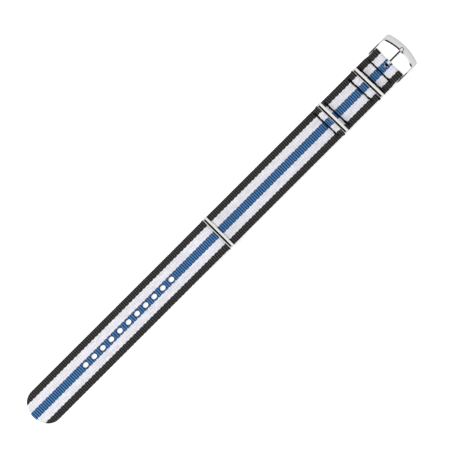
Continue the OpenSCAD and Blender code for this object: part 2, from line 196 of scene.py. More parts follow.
# Nylon webbing, woven from filament yarn dyed before weaving: matt ribs across the strap with a faint
# sheen along the yarns, and painted shade: the base colour is darker in the valleys where light doesn't
# reach
def wovenNylon():
    material, tree, shader = newMaterial("woven_nylon_webbing")
    weave = addNode(tree, "ShaderNodeUVMap", uv_map="weave").outputs[0]
    split = addNode(tree, "ShaderNodeSeparateXYZ", {0: weave})
    along, across = split.outputs[0], split.outputs[1]

    def wave(source, period):
        turn = addNode(tree, "ShaderNodeMath", {0: source, 1: math.pi / period}, operation="MULTIPLY")
        return addNode(tree, "ShaderNodeMath", {0: turn.outputs[0]}, operation="SINE").outputs[0]

    ribWave = wave(along, webbing["ribPitch"])
    yarnWave = wave(across, webbing["yarnWidth"])

    # The stripe's edge follows whichever yarn is on top
    steep = addNode(tree, "ShaderNodeMath", {0: ribWave, 1: 1.6}, operation="MULTIPLY")
    held = addNode(tree, "ShaderNodeClamp", {"Value": steep.outputs[0], "Min": -1.0, "Max": 1.0})
    step = addNode(tree, "ShaderNodeMath", {0: held.outputs[0], 1: webbing["scallop"], 2: across},
                   operation="MULTIPLY_ADD")
    offMiddle = addNode(tree, "ShaderNodeMath", {0: step.outputs[0]}, operation="ABSOLUTE")
    share = addNode(tree, "ShaderNodeMath", {0: offMiddle.outputs[0], 1: webbing["width"] / 2},
                    operation="DIVIDE")

    def stripes(blue, white, black):
        ramp = addNode(tree, "ShaderNodeValToRGB", {0: share.outputs[0]})
        ramp.color_ramp.interpolation = "CONSTANT"
        points = ramp.color_ramp.elements
        points[0].position, points[0].color = 0, toLinear(blue)
        points[1].position, points[1].color = webbing["stripes"][0] / 10, toLinear(white)
        points.new(webbing["stripes"][1] / 10).color = toLinear(black)
        return ramp.outputs[0]

    crest = stripes("#4c7bae", "#e3e2e8", "#434241")
    # Painted shade: the valley colours are darker than the crests, for the shade that falls between the
    # ribs
    valley = stripes("#041b3e", "#d6d4dc", "#020202")
    ribHeight = addNode(tree, "ShaderNodeMath", {0: ribWave}, operation="ABSOLUTE")
    depth = addNode(tree, "ShaderNodeMapRange", {"Value": ribHeight.outputs[0], "From Min": 0.25,
                                                 "From Max": 1.0, "To Min": 0.0, "To Max": 1.0},
                    interpolation_type="SMOOTHSTEP")
    dyedAndValleyShaded = addNode(tree, "ShaderNodeMix", {0: depth.outputs[0], 6: valley, 7: crest}, data_type="RGBA")

    # Each float of yarn takes the dye a little differently
    cell = addNode(tree, "ShaderNodeVectorMath",
                   {0: weave, 1: (1 / webbing["ribPitch"] / 2, 1 / webbing["yarnWidth"], 0)},
                   operation="MULTIPLY")
    whole = addNode(tree, "ShaderNodeVectorMath", {0: cell.outputs[0]}, operation="FLOOR")
    chance = addNode(tree, "ShaderNodeTexWhiteNoise", {"Vector": whole.outputs[0]},
                     noise_dimensions="2D")
    tone = addNode(tree, "ShaderNodeMapRange", {"Value": chance.outputs[0], "To Min": 0.9,
                                                "To Max": 1.08})
    tinted = addNode(tree, "ShaderNodeVectorMath", {0: dyedAndValleyShaded.outputs[2], "Scale": tone.outputs[0]},
                     operation="SCALE")
    tree.links.new(tinted.outputs[0], shader.inputs["Base Color"])

    # Filaments are 0.03 mm thick; the streaks are drawn 0.1 mm apart so that they can show
    streaks = addNode(tree, "ShaderNodeVectorMath", {0: weave, 1: (0.7, 10, 0)}, operation="MULTIPLY")
    filaments = addNode(tree, "ShaderNodeTexNoise", {"Vector": streaks.outputs[0], "Scale": 1.0,
                                                     "Detail": 2.0}, noise_dimensions="2D")
    floats = addNode(tree, "ShaderNodeMath", {0: ribWave, 1: yarnWave}, operation="MULTIPLY")
    relief = addNode(tree, "ShaderNodeMath", {0: filaments.outputs[0], 1: 0.5, 2: floats.outputs[0]},
                     operation="MULTIPLY_ADD")
    bump = addNode(tree, "ShaderNodeBump", {"Height": relief.outputs[0], "Strength": 0.8,
                                            "Distance": 0.05 * mm})
    tree.links.new(bump.outputs[0], shader.inputs["Normal"])
    shader.inputs["Roughness"].default_value = 0.62
    shader.inputs["IOR"].default_value = 1.53
    shader.inputs["Specular IOR Level"].default_value = 0.1
    shader.inputs["Sheen Weight"].default_value = 0.03
    shader.inputs["Sheen Roughness"].default_value = 0.4
    return material


# Nylon webbing melted by a hot knife or punch: the yarns run together into a darker, smoother rim
# that keeps each stripe's dye
def heatSealedNylon():
    material, tree, shader = newMaterial("heat_sealed_nylon")
    weave = addNode(tree, "ShaderNodeUVMap", uv_map="weave").outputs[0]
    split = addNode(tree, "ShaderNodeSeparateXYZ", {0: weave})
    offMiddle = addNode(tree, "ShaderNodeMath", {0: split.outputs[1]}, operation="ABSOLUTE")
    share = addNode(tree, "ShaderNodeMath", {0: offMiddle.outputs[0], 1: webbing["width"] / 2},
                    operation="DIVIDE")
    ramp = addNode(tree, "ShaderNodeValToRGB", {0: share.outputs[0]})
    points = ramp.color_ramp.elements
    points[0].position, points[0].color = 0.19, toLinear("#12264f")
    points[1].position, points[1].color = 0.24, toLinear("#cfccd8")
    points.new(0.64).color = toLinear("#cfccd8")
    points.new(0.68).color = toLinear("#1a1a1c")
    blotch = addNode(tree, "ShaderNodeTexNoise", {"Vector": weave, "Scale": 1.4, "Detail": 2.0},
                     noise_dimensions="2D")
    tone = addNode(tree, "ShaderNodeMapRange", {"Value": blotch.outputs[0], "To Min": 0.75,
                                                "To Max": 1.2})
    tinted = addNode(tree, "ShaderNodeVectorMath", {0: ramp.outputs[0], "Scale": tone.outputs[0]},
                     operation="SCALE")
    tree.links.new(tinted.outputs[0], shader.inputs["Base Color"])
    bump = addNode(tree, "ShaderNodeBump", {"Height": blotch.outputs[0], "Strength": 0.5,
                                            "Distance": 0.05 * mm})
    tree.links.new(bump.outputs[0], shader.inputs["Normal"])
    shader.inputs["Roughness"].default_value = 0.38
    shader.inputs["IOR"].default_value = 1.53
    return material


# Bonded nylon sewing thread: three plies twisted and coated, so it is dark with a waxy highlight on
# each ply
def bondedThread():
    material, tree, shader = newMaterial("bonded_nylon_thread")
    place = addNode(tree, "ShaderNodeTexCoord").outputs["Object"]
    grain = addNode(tree, "ShaderNodeTexNoise", {"Vector": place, "Scale": 1 / (0.12 * mm),
                                                 "Detail": 2.0})
    ramp = addNode(tree, "ShaderNodeValToRGB", {0: grain.outputs[0]})
    points = ramp.color_ramp.elements
    points[0].position, points[0].color = 0.3, toLinear("#010101")
    points[1].position, points[1].color = 0.7, toLinear("#070708")
    tree.links.new(ramp.outputs[0], shader.inputs["Base Color"])
    bump = addNode(tree, "ShaderNodeBump", {"Height": grain.outputs[0], "Strength": 0.4,
                                            "Distance": 0.03 * mm})
    tree.links.new(bump.outputs[0], shader.inputs["Normal"])
    shader.inputs["Roughness"].default_value = 0.55
    shader.inputs["IOR"].default_value = 1.53
    shader.inputs["Specular IOR Level"].default_value = 0.15
    return material


nylon = wovenNylon()
sealed = heatSealedNylon()
thread = bondedThread()
print("webbing and thread materials made")

# The long strap and the short one, in side view: stations are (x, height of the underside)
layers = {
    "lay": 1.26,             # the upper layer's underside, where it lies on the lower one
    "nose": 0.927,           # half the flat top of a fold round a keeper
    "tailRamp": 22,
    "settle": 15,
    "archUnder": 3.385,      # underside of the arch over the first and second keepers
    "wrapMiddle": 1.395,     # radius of the short strap's loop, at the middle of its thickness
    "foldMiddle": 1.45,      # radius round the spring bar, at the middle of the thickness
    "foldEnd": 2.4,          # webbing beyond the last seam
    "narrow": 9.65,          # half width between the buckle's arms
    "narrowFrom": 114.3,
    "narrowOver": 3.5,
}


# Points along the middle of a layer, its stations joined by smooth ramps
def layerPoints(stations):
    points = []
    for (x0, z0), (x1, z1) in zip(stations, stations[1:]):
        count = max(2, int(abs(x1 - x0) / 0.05))
        for k in range(count):
            rise = (1 - math.cos(math.pi * k / count)) / 2
            points.append((x0 + (x1 - x0) * k / count,
                           z0 + (z1 - z0) * rise + webbing["thickness"] / 2))
    points.append((stations[-1][0], stations[-1][1] + webbing["thickness"] / 2))
    return points


# Points round a turn about (x, z), between two angles in degrees and leaving out both ends
def turnPoints(x, z, radius, start, end):
    angles = [math.radians(start + (end - start) * k / 60) for k in range(1, 60)]
    return [(x + radius * math.cos(a), z + radius * math.sin(a)) for a in angles]


def longPath():
    lay, nose = layers["lay"], layers["nose"]
    over = [
        (tipX, 0),
        (keeperX[3] - nose - layers["tailRamp"], 0),
        (keeperX[3] - nose, humpUnder),
        (keeperX[3] + nose, humpUnder),
        (keeperX[3] + nose + layers["settle"], lay),
        (seamX["e"], lay),
        (keeperX[2], layers["archUnder"]),
        (seamX["d"], lay),
        (seamX["c"], lay),
        (keeperX[1], layers["archUnder"]),
        (seamX["b"], lay),
        (seamX["a"], lay),
        (barX, barZ + layers["foldMiddle"] - webbing["thickness"] / 2),
    ]
    fold = turnPoints(barX, barZ, layers["foldMiddle"], 90, -90)
    return layerPoints(over) + fold + layerPoints([(barX, 0), (seamX["c"] - layers["foldEnd"], 0)])


def shortPath():
    turnX = keeperX[3] - layers["nose"]
    over = keeperZ + layers["wrapMiddle"] - webbing["thickness"] / 2
    loop = turnPoints(turnX, keeperZ, layers["wrapMiddle"], -90, -270)
    back = [(turnX, over), (keeperX[3] + layers["nose"], over), (seamX["f"], layers["lay"]),
            (seamX["f"] + layers["foldEnd"], layers["lay"])]
    return layerPoints([(rootX, 0), (turnX, 0)]) + loop + layerPoints(back)


seam = {
    "run": 16.8,             # from the first needle hole to the last
    "stitch": 2.8,
    "skew": {"a": 0.1, "b": -1.6, "c": -2.6, "d": -3.1, "e": -2.9, "f": 0.8},   # degrees off square
    "wobble": 0.07,
    "press": 0.2,            # how deep the stitches pull into the webbing
    "pressWidth": 0.45,
    "dimple": 0.28,
    "ply": 0.135,            # radius of one ply, and of the twist
    "twist": 1.1,            # mm for a turn of the plies
    # The two passes lie this far each side of the seam; the second one is sewn over a few times
    "passes": {"a": 0.22, "b": 0.27, "c": 0.23, "d": 0.23, "e": 0.21, "f": 0.2},
    "knot": (0.46, -6.55, -5.35),   # where the thread ends are tied off: half width, from and to
    "top": 2.46,             # height of the webbing under the needle thread
    "under": 0.42,           # and over the bobbin thread
}


def seamLine(key, y):
    skew = math.tan(math.radians(seam["skew"][key]))
    return seamX[key] + skew * y + seam["wobble"] * np.sin(1.3 * y + ord(key))


# How far the stitches of some seams press the surface in at (x, y)
def pressIn(keys, x, y):
    total = np.zeros(np.broadcast(x, y).shape)
    end = seam["run"] / 2
    for key in keys:
        off = (x - seamLine(key, y)) / seam["pressWidth"]
        inside = 1 / (1 + np.exp((np.abs(y) - end - 0.2) / 0.15))
        hole = np.cos(np.pi * (y + end) / seam["stitch"]) ** 16
        total += np.exp(-off * off) * inside * (seam["press"] + seam["dimple"] * hole)
    return total


# A closed, ribbed strip of webbing along a path. The ribs' crests are on the CAD surface
def weaveStrip(name, path, seamKeys):
    path = np.array(path)
    steps = np.linalg.norm(np.diff(path, axis=0), axis=1)
    length = np.concatenate([[0], np.cumsum(steps)])
    total = length[-1]
    pitch = webbing["ribPitch"]
    phases, heights = (0, 0.15, 0.38, 0.62, 0.85), (0, 0.72, 1, 1, 0.72)
    ribs = [(i, (i + p) * pitch, h) for i in range(int(total / pitch) + 1)
            for p, h in zip(phases, heights) if (i + p) * pitch < total - 0.08]
    ribs.append((ribs[-1][0], total, ribs[-1][2]))
    index, s, rib = (np.array(column) for column in zip(*ribs))

    ahead = np.gradient(path, length, axis=0)
    ahead /= np.linalg.norm(ahead, axis=1)[:, None]
    x, z = (np.interp(s, length, path[:, k]) for k in (0, 1))
    ax, az = (np.interp(s, length, ahead[:, k]) for k in (0, 1))

    yarn = webbing["yarnWidth"]
    columns = np.arange(-18, 18)
    y = (columns + 0.5) * yarn
    half = webbing["thickness"] / 2
    crush = np.where((s < 0.3) | (s > total - 0.3), webbing["endCrush"], 1.0)
    up = (columns[None, :] + index[:, None].astype(int)) % 2 == 0
    valley = webbing["ribDepth"] * (1 - rib)[:, None]
    drop = webbing["floatDrop"] * rib[:, None]
    pressed = pressIn(seamKeys, x[:, None], y[None, :])
    front = (half - valley - np.where(up, 0, drop)) * crush[:, None] - pressed
    back = -(half - valley - np.where(up, drop, 0)) * crush[:, None]

    # The selvage, where the weft turns back round the last yarn
    edge = np.array([(9.95, 0.5), (10.07, 0.2), (10.07, -0.2), (9.95, -0.5)])
    edgeY = edge[None, :, 0] - webbing["selvageDip"] * (1 - rib)[:, None]
    edgeH = np.broadcast_to(edge[None, :, 1], edgeY.shape) * crush[:, None]
    # On the -Y side the loom knits the weft's loops together, two ribs to a stitch
    knitY = edgeY + webbing["knit"] * np.cos(np.pi * s / pitch)[:, None]
    rows = len(s)
    ys = np.concatenate([np.broadcast_to(y, (rows, 36)), edgeY,
                         np.broadcast_to(y[::-1], (rows, 36)), -knitY[:, ::-1]], axis=1)
    hs = np.concatenate([front, edgeH, back[:, ::-1], edgeH[:, ::-1]], axis=1)
    uvs = np.stack([np.broadcast_to(s[:, None], ys.shape), ys], axis=2).reshape(-1, 2)

    narrowing = np.clip((x - layers["narrowFrom"]) / layers["narrowOver"], 0, 1)
    wide = 1 - (1 - layers["narrow"] / 10) * narrowing * narrowing * (3 - 2 * narrowing)
    points = np.stack([x[:, None] - hs * az[:, None], ys * wide[:, None],
                       z[:, None] + hs * ax[:, None]], axis=2).reshape(-1, 3)

    side = ys.shape[1]
    faces = skinFaces(rows, side)
    for first in (0, (rows - 1) * side):
        faces += [(first + k, first + k + 1, first + 74 - k, first + 75 - k) for k in range(35)]
        faces.append(tuple(first + k for k in range(35, 41)))
        faces.append(tuple(first + k for k in (75, 76, 77, 78, 79, 0)))
    return newPiece(name, points, faces, "strap", [nylon, sealed], uvs)


# A prism for cutting, from a plan outline. Its uvs carry y, so that a cut wall shows its stripe
def prism(outline, low, high):
    count = len(outline)
    points = [(x, y, z) for z in (low, high) for x, y in outline]
    faces = [tuple(range(count)), tuple(range(count, 2 * count))]
    faces += [(k, (k + 1) % count, count + (k + 1) % count, count + k) for k in range(count)]
    return points, faces


def joined(parts):
    points, faces = [], []
    for somePoints, someFaces in parts:
        faces += [tuple(k + len(points) for k in face) for face in someFaces]
        points += [tuple(p) for p in somePoints]
    return points, faces


def cutOut(piece, parts, material, sharp):
    points, faces = joined(parts)
    cutter = newPiece("cutter", points, faces, None, [material], [(0, p[1]) for p in points])
    modifier = piece.modifiers.new("cut", "BOOLEAN")
    modifier.operation = "DIFFERENCE"
    modifier.solver = "EXACT"
    modifier.object = cutter
    bpy.context.view_layer.update()
    evaluated = piece.evaluated_get(bpy.context.evaluated_depsgraph_get())
    mesh = bpy.data.meshes.new_from_object(evaluated)
    piece.modifiers.clear()
    mesh.set_sharp_from_angle(angle=math.radians(sharp))
    mesh.name = piece.name
    piece.data = mesh
    bpy.data.objects.remove(cutter)
    return piece


hole = {
    "count": 11,
    "fromTip": 37.9,
    "pitch": 6.2,
    "length": 3.1,
    "width": 2.5,
    # The melted rim's section: (outward from the hole's edge, height)
    "rim": [(0.66, 1.02), (0.52, 1.15), (0.28, 1.2), (0.08, 1.16), (-0.03, 1.0), (-0.05, 0.6),
            (-0.03, 0.2), (0.08, 0.04), (0.28, 0.005), (0.52, 0.05), (0.66, 0.18), (0.4, 0.6)],
}
holeXs = [tipX + hole["fromTip"] + i * hole["pitch"] for i in range(hole["count"])]
point = {"length": 8.3, "halfWidth": 10, "seal": 0.42}
slot = {"back": 119.35, "half": 1.0}   # where the tongue's loop turns; it has a round end


# Plan of an oval with straight sides, grown outward by some distance
def oval(x, grow, count=40):
    radius = hole["width"] / 2 + grow
    straight = (hole["length"] - hole["width"]) / 2
    angles = [2 * math.pi * (k + 0.5) / count for k in range(count)]
    return [(x + radius * math.cos(a) + math.copysign(straight, math.cos(a)), radius * math.sin(a))
            for a in angles]


# Half of an ellipse, the outline of the strap's point, drawn in by some distance
def pointOutline(inset, count=60):
    angles = [math.radians(-90 + 180 * k / count) for k in range(count + 1)]
    return [(tipX + point["length"] - (point["length"] - inset) * math.cos(a),
             (point["halfWidth"] - inset) * math.sin(a)) for a in angles]


def buildLongStrap():
    strap = weaveStrip("long_webbing", longPath(), "abcde")
    punches = [prism(oval(x, 0.03), -1, 3) for x in holeXs]
    shoulder, clear = tipX + point["length"], tipX - 3
    beyond = [(shoulder, 12), (clear, 12), (clear, -12), (shoulder, -12)]
    outside = [prism(pointOutline(0.12) + beyond, -1, 3)]
    # The slot runs out through the fold
    half = slot["half"]
    slotPlan = corner(slot["back"] + half, 0, half, 90, 270, 17) + [(130, -half), (130, half)]
    cutOut(strap, punches + outside + [prism(slotPlan, -1, 6)], sealed, 75)
    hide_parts("main_strap")
    return strap


longStrap = buildLongStrap()
print("long strap woven and cut:", len(longStrap.data.polygons), "faces")

shortStrap = weaveStrip("short_webbing", shortPath(), "def")
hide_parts("short_strap")
print("short strap woven:", len(shortStrap.data.polygons), "faces")


# Melted rims round the eleven holes, each a little uneven
def buildHoleRims():
    parts, uvs = [], []
    for i, x in enumerate(holeXs):
        rings = [oval(x, out) for out, _ in hole["rim"]]
        count, sides = len(rings[0]), len(hole["rim"])
        points = []
        for k in range(count):
            uneven = 0.05 * math.sin(3 * k / count * 2 * math.pi + 2.1 * i)
            uneven += 0.03 * math.sin(0.9 * k + i)
            for ring, (out, z) in zip(rings, hole["rim"]):
                mx, my = ring[k][0] - x, ring[k][1]
                grow = 1 + uneven * max(out, 0) / 1.25
                points.append((x + mx * grow, my * grow, z))
        parts.append((points, skinFaces(count, sides, closed=True)))
        uvs += [(p[0], p[1]) for p in points]
    points, faces = joined(parts)
    return newPiece("hole_rims", points, faces, "strap", [sealed], uvs)


buildHoleRims()


# The sealed edge round the strap's point, a soft bead over the cut ends of the yarns
def buildPointSeal():
    inset = point["seal"] / 2
    path = [(x, y, 0.6) for x, y in pointOutline(inset, 90)]
    turns = [2 * math.pi * k / 12 for k in range(12)]
    soft = [(math.copysign(abs(math.cos(a)) ** 0.7, math.cos(a)), math.copysign(abs(math.sin(a)) ** 0.7,
             math.sin(a))) for a in turns]
    section = [(c * inset, d * 0.55) for c, d in soft]
    points, faces = sweep(path, section)
    return newPiece("point_seal", points, faces, "strap", [sealed],
                    [(p[0], p[1]) for p in points])


buildPointSeal()
print("holes and point sealed")


# One pass of stitching: three twisted plies that dive at each needle hole. up is 1 on the face of
# the strap and -1 underneath
def stitchPass(key, apart, surface, up, needles, y0, y1):
    count = int(abs(y1 - y0) / 0.12)
    y = np.linspace(y0, y1, count)
    x = seamLine(key, y) + apart + 0.05 * np.sin(2.3 * y + 4 * apart + ord(key))
    near = np.min(np.abs(y[:, None] - np.array(needles)[None, :]), axis=1)
    height = 0.04 - 0.42 * np.exp(-(near / 0.3) ** 2)
    z = surface + up * height
    parts = []
    for ply in range(3):
        turn = 2 * np.pi * (y / seam["twist"] + ply / 3)
        path = np.stack([x + seam["ply"] * np.cos(turn), y, z + seam["ply"] * np.sin(turn)], axis=1)
        parts.append(sweep(path, roundSection(seam["ply"], 6)))
    return parts


# A seam's thread on one face: two passes, a short tack at each end and the knot
def sewSeam(key, name, surface, up):
    end, stitch = seam["run"] / 2, seam["stitch"]
    first = [-end + k * stitch for k in range(7)]
    second = [-end] + [-end + stitch / 2 + k * stitch for k in range(6)] + [end]
    apart = seam["passes"][key]
    parts = stitchPass(key, -apart, surface, up, first, -end, end)
    parts += stitchPass(key, apart, surface, up, second, -end, end)
    for way in (-1, 1):
        tack = (way * (end - 1.5), way * (end + 0.1))
        parts += stitchPass(key, 0, surface + up * 0.14, up, tack, tack[0], tack[1])
    knotHalf, knotFrom, knotTo = seam["knot"]
    for way in (-1, 0, 1):
        parts += stitchPass(key, way * knotHalf, surface + up * 0.06, up, (knotFrom, knotTo),
                            knotFrom, knotTo)
    points, faces = joined(parts)
    piece = newPiece(name.replace("thread", "stitches"), points, faces, "strap", [thread])
    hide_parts(name)


for key in "abcdef":
    sewSeam(key, f"needle_thread_{key}", seam["top"], 1)
    sewSeam(key, f"bobbin_thread_{key}", seam["under"], -1)
print("seams sewn")


# Stainless steel in three finishes. The grain is a noise stretched along one axis, in mm
def stainlessSteel(name, tone, roughness, spread, grain, depth):
    material, tree, shader = newMaterial(name)
    place = addNode(tree, "ShaderNodeTexCoord").outputs["Object"]
    stretched = addNode(tree, "ShaderNodeVectorMath", {0: place, 1: [1 / (g * mm) for g in grain]},
                        operation="MULTIPLY")
    scratches = addNode(tree, "ShaderNodeTexNoise", {"Vector": stretched.outputs[0], "Scale": 1.0,
                                                     "Detail": 3.0})
    gloss = addNode(tree, "ShaderNodeMapRange", {"Value": scratches.outputs[0], "From Min": 0.3,
                                                 "From Max": 0.7, "To Min": roughness - spread,
                                                 "To Max": roughness + spread})
    tree.links.new(gloss.outputs[0], shader.inputs["Roughness"])
    bump = addNode(tree, "ShaderNodeBump", {"Height": scratches.outputs[0], "Strength": depth,
                                            "Distance": 0.004 * mm})
    tree.links.new(bump.outputs[0], shader.inputs["Normal"])
    shader.inputs["Base Color"].default_value = toLinear(tone)
    shader.inputs["Metallic"].default_value = 1.0
    return material


steels = {
    # Flattened wire, tumbled and buffed: near a mirror, so it shows bands of light and dark
    "keeper": stainlessSteel("buffed_stainless_wire", "#e9e8e5", 0.08, 0.03, (0.5, 3, 0.5), 0.3),
    # Cast and finished on a fine belt along the front bar: soft wide reflections
    "frame": stainlessSteel("satin_stainless_casting", "#d4d4d6", 0.09, 0.03, (0.2, 4, 0.2), 0.4),
    # Cast and polished on a wheel
    "tongue": stainlessSteel("polished_stainless_casting", "#ecebea", 0.07, 0.02, (3, 0.4, 0.4), 0.3),
    # Drawn tube and turned tips: fine lines round the bar and a grey cast
    "bar": stainlessSteel("drawn_stainless_tube", "#cfd0d3", 0.28, 0.08, (0.6, 0.12, 0.6), 0.5),
}


# Painted shade: darkens the base colour of the tongue's loop, down in its slot where shade falls. That a
# buffing wheel misses it is a guess, made to match the dark gap in the photograph
def paintLoopShade(material, x0, x1, shadeColour):
    tree = material.node_tree
    shader = tree.nodes["Principled BSDF"]
    place = addNode(tree, "ShaderNodeTexCoord").outputs["Object"]
    split = addNode(tree, "ShaderNodeSeparateXYZ", {0: place})
    share = addNode(tree, "ShaderNodeMapRange", {"Value": split.outputs[0], "From Min": x0 * mm,
                                                 "From Max": x1 * mm}, interpolation_type="SMOOTHSTEP")
    bright = shader.inputs["Base Color"].default_value
    tone = addNode(tree, "ShaderNodeMix", {0: share.outputs[0], 6: toLinear(shadeColour), 7: bright},
                   data_type="RGBA")
    tree.links.new(tone.outputs[2], shader.inputs["Base Color"])


# Painted shade: the loop round the spring bar gets a near-black base colour
paintLoopShade(steels["tongue"], barX - 0.3, barX + 0.5, "#2a2b30")

for node in ("spring_bar_tube", "spring_bar_tip_left", "spring_bar_tip_right", "spring_bar_spring"):
    part = frame["nodes"][node]
    if not part.material_slots:
        part.data.materials.append(None)
    for place in part.material_slots:
        place.material = steels["bar"]
print("spring bar finished")


# A keeper is flattened wire bent into a rectangle
keeper = {
    "halfWide": 10.46,       # to the middle of the wire
    "tall": 4.28,            # between the middles of the lower and the upper bar
    "bends": (0.69, 1.15),   # radius at the middle of the wire, below and above
    "lean": 13,
    "thickness": 0.68,
    "flat": 0.96,            # half of the flat inner face
    "crown": (3.7, 0.24),    # radius of the outer face, and how far its top is off the middle
    "skew": {1: 1.5, 2: 0.9, 3: 0.2},   # how far each upper bar is off square, in degrees
}


# The wire's section: (along the strap, outward)
def wireSection():
    half, flat = keeper["thickness"] / 2, keeper["flat"]
    radius, off = keeper["crown"]
    points = corner(-flat, 0, half, 270, 200, 7)
    for p in np.linspace(-1.27, 1.25, 28):
        points.append((p, half - radius + math.sqrt(radius ** 2 - (p - off) ** 2)))
    return points + corner(flat, 0, half, 26, -90, 9)


# Points round the rectangle with the way outward at each: (y, z, outward y, outward z)
def wirePath():
    low, high = keeper["bends"]
    wide, tall = keeper["halfWide"], keeper["tall"]
    path = []
    for y, z, radius, start in ((wide - low, low, low, -90), (wide - high, tall - high, high, 0),
                                (high - wide, tall - high, high, 90), (low - wide, low, low, 180)):
        for k in range(13):
            a = math.radians(start + 90 * k / 12)
            path.append((y + radius * math.cos(a), z + radius * math.sin(a), math.cos(a), math.sin(a)))
    return path


def bendKeeper(k):
    section, path = wireSection(), wirePath()
    lean = math.radians(keeper["lean"])
    skew = math.tan(math.radians(keeper["skew"][k])) / keeper["tall"]
    points = []
    for y, z, outY, outZ in path:
        for along, out in section:
            high = z + outZ * out
            x = along * math.cos(lean) + high * math.sin(lean)
            across = y + outY * out
            points.append((keeperX[k] + x - across * skew * max(high, 0), across,
                           keeperZ + high * math.cos(lean) - along * math.sin(lean)))
    faces = skinFaces(len(path), len(section), closed=True)
    piece = newPiece(f"keeper_wire_{k}", points, faces, f"keeper_{k}",
                     [steels["keeper"]], sharp=30)
    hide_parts(f"keeper_{k}")


for k in (1, 2, 3):
    bendKeeper(k)
print("keepers bent")


buckle = {
    "armIn": 9.85,
    "armOut": 10.85,
    "armHalf": 1.0,          # half height of an arm
    "armEase": 0.35,
    "armBack": 118.0,
    "armBend": 125.2,        # an arm is level up to here, then falls to the front bar
    "armEnd": 131.3,
    "barHalf": 1.1,          # half height of the front bar
    # The front bar's sweeps: where each is centred, and its radius
    "inner": (105.1, 25.5),
    "outer": (102.7, 32.0),
    "innerFillet": 0.5,
    "outerFillet": 2.0,
    "bevel": (0.78, 21),     # the front bar's polished inner edge: width and slope
    "face": (9, 29),         # slope of its face, at the bevel and at the outer edge
    "notch": (1.06, 1.0, 133.0),   # half width, floor and end of the notch for the tongue
}


# Sections run from the lower inner edge up, over the top and down: (share of the width, height)
def armSection():
    ease, half = buckle["armEase"], buckle["armHalf"]
    points = corner(ease, ease - half, ease, 270, 180, 7) + corner(ease, half - ease, ease, 180, 90, 7)
    points += [(ease + (1 - 2 * ease) * k / 11, half) for k in range(1, 11)]
    points += corner(1 - ease, half - ease, ease, 90, 0, 8)
    return points + corner(1 - ease, ease - half, ease, 0, -90, 7)


def barSection():
    wide = sum(buckle["outer"]) - sum(buckle["inner"])
    half = buckle["barHalf"]
    run, slope = buckle["bevel"]
    drop = run * math.tan(math.radians(slope))
    points = corner(0.15, 0.15 - half, 0.15, 270, 180, 7)
    points += [(0, k * (half - drop) / 5) for k in range(1, 5)]
    points += [(0.01, half - drop), (run / 2, half - drop / 2), (run, half)]
    near, far = (math.radians(a) for a in buckle["face"])
    reach = wide - 0.1 - run
    radius = reach / (math.sin(far) - math.sin(near))
    for k in range(10):
        lean = near + (far - near) * (k + 1) / 10
        points.append((run + radius * (math.sin(lean) - math.sin(near)),
                       half - radius * (math.cos(near) - math.cos(lean))))
    low = points[-1][1]
    points += corner(wide - 0.3, low - 0.29, 0.3, 60, 0, 8)
    points += corner(wide - 0.15, 0.15 - half, 0.15, 0, -90, 7)
    return [(d / wide, z) for d, z in points]


# Middle of a fillet between an arm's side and a sweep, and the angle at which it meets the sweep
def filletMiddle(sweepOf, side, fillet):
    middle, radius = sweepOf
    x = math.sqrt((radius - fillet) ** 2 - (side - fillet) ** 2)
    return middle + x, math.degrees(math.atan2(side - fillet, x))


# The frame as one bar bent into a U: pairs of inner and outer points, with how far each section has
# turned from an arm's into the front bar's, and how much of its height it has
def frameStations():
    b = buckle
    stations = []
    for k in range(9):
        turn = math.radians(6 + 84 * k / 8)
        x = b["armBack"] + b["armHalf"] * (1 - math.cos(turn))
        stations.append(((x, b["armIn"]), (x, b["armOut"]), 0, math.sin(turn)))
    for x in np.linspace(b["armBack"] + b["armHalf"] + 1, b["armBend"] - 0.6, 5):
        stations.append(((x, b["armIn"]), (x, b["armOut"]), 0, 1))
    inX, inStop = filletMiddle(b["inner"], b["armIn"], b["innerFillet"])
    outX, outStop = filletMiddle(b["outer"], b["armOut"], b["outerFillet"])
    for share in np.linspace(0, 1, 9)[:-1]:
        stations.append(((b["armBend"] + share * (inX - b["armBend"]), b["armIn"]),
                         (b["armBend"] + share * (outX - b["armBend"]), b["armOut"]), 0.35 * share ** 3, 1))
    inner = corner(inX, b["armIn"] - b["innerFillet"], b["innerFillet"], 90, inStop, 14)
    outer = corner(outX, b["armOut"] - b["outerFillet"], b["outerFillet"], 90, outStop, 14)
    for k, (a, c) in enumerate(zip(inner, outer)):
        u = k / 13
        stations.append((a, c, 0.35 + 0.65 * u * u * (3 - 2 * u), 1))
    for share in np.linspace(1, 0, 26)[1:]:
        ends = []
        for (middle, radius), stop in ((b["inner"], inStop), (b["outer"], outStop)):
            a = math.radians(stop * share)
            ends.append((middle + radius * math.cos(a), radius * math.sin(a)))
        stations.append((ends[0], ends[1], 1, 1))
    other = [((i[0], -i[1]), (o[0], -o[1]), w, h) for i, o, w, h in stations[-2::-1]]
    return stations + other


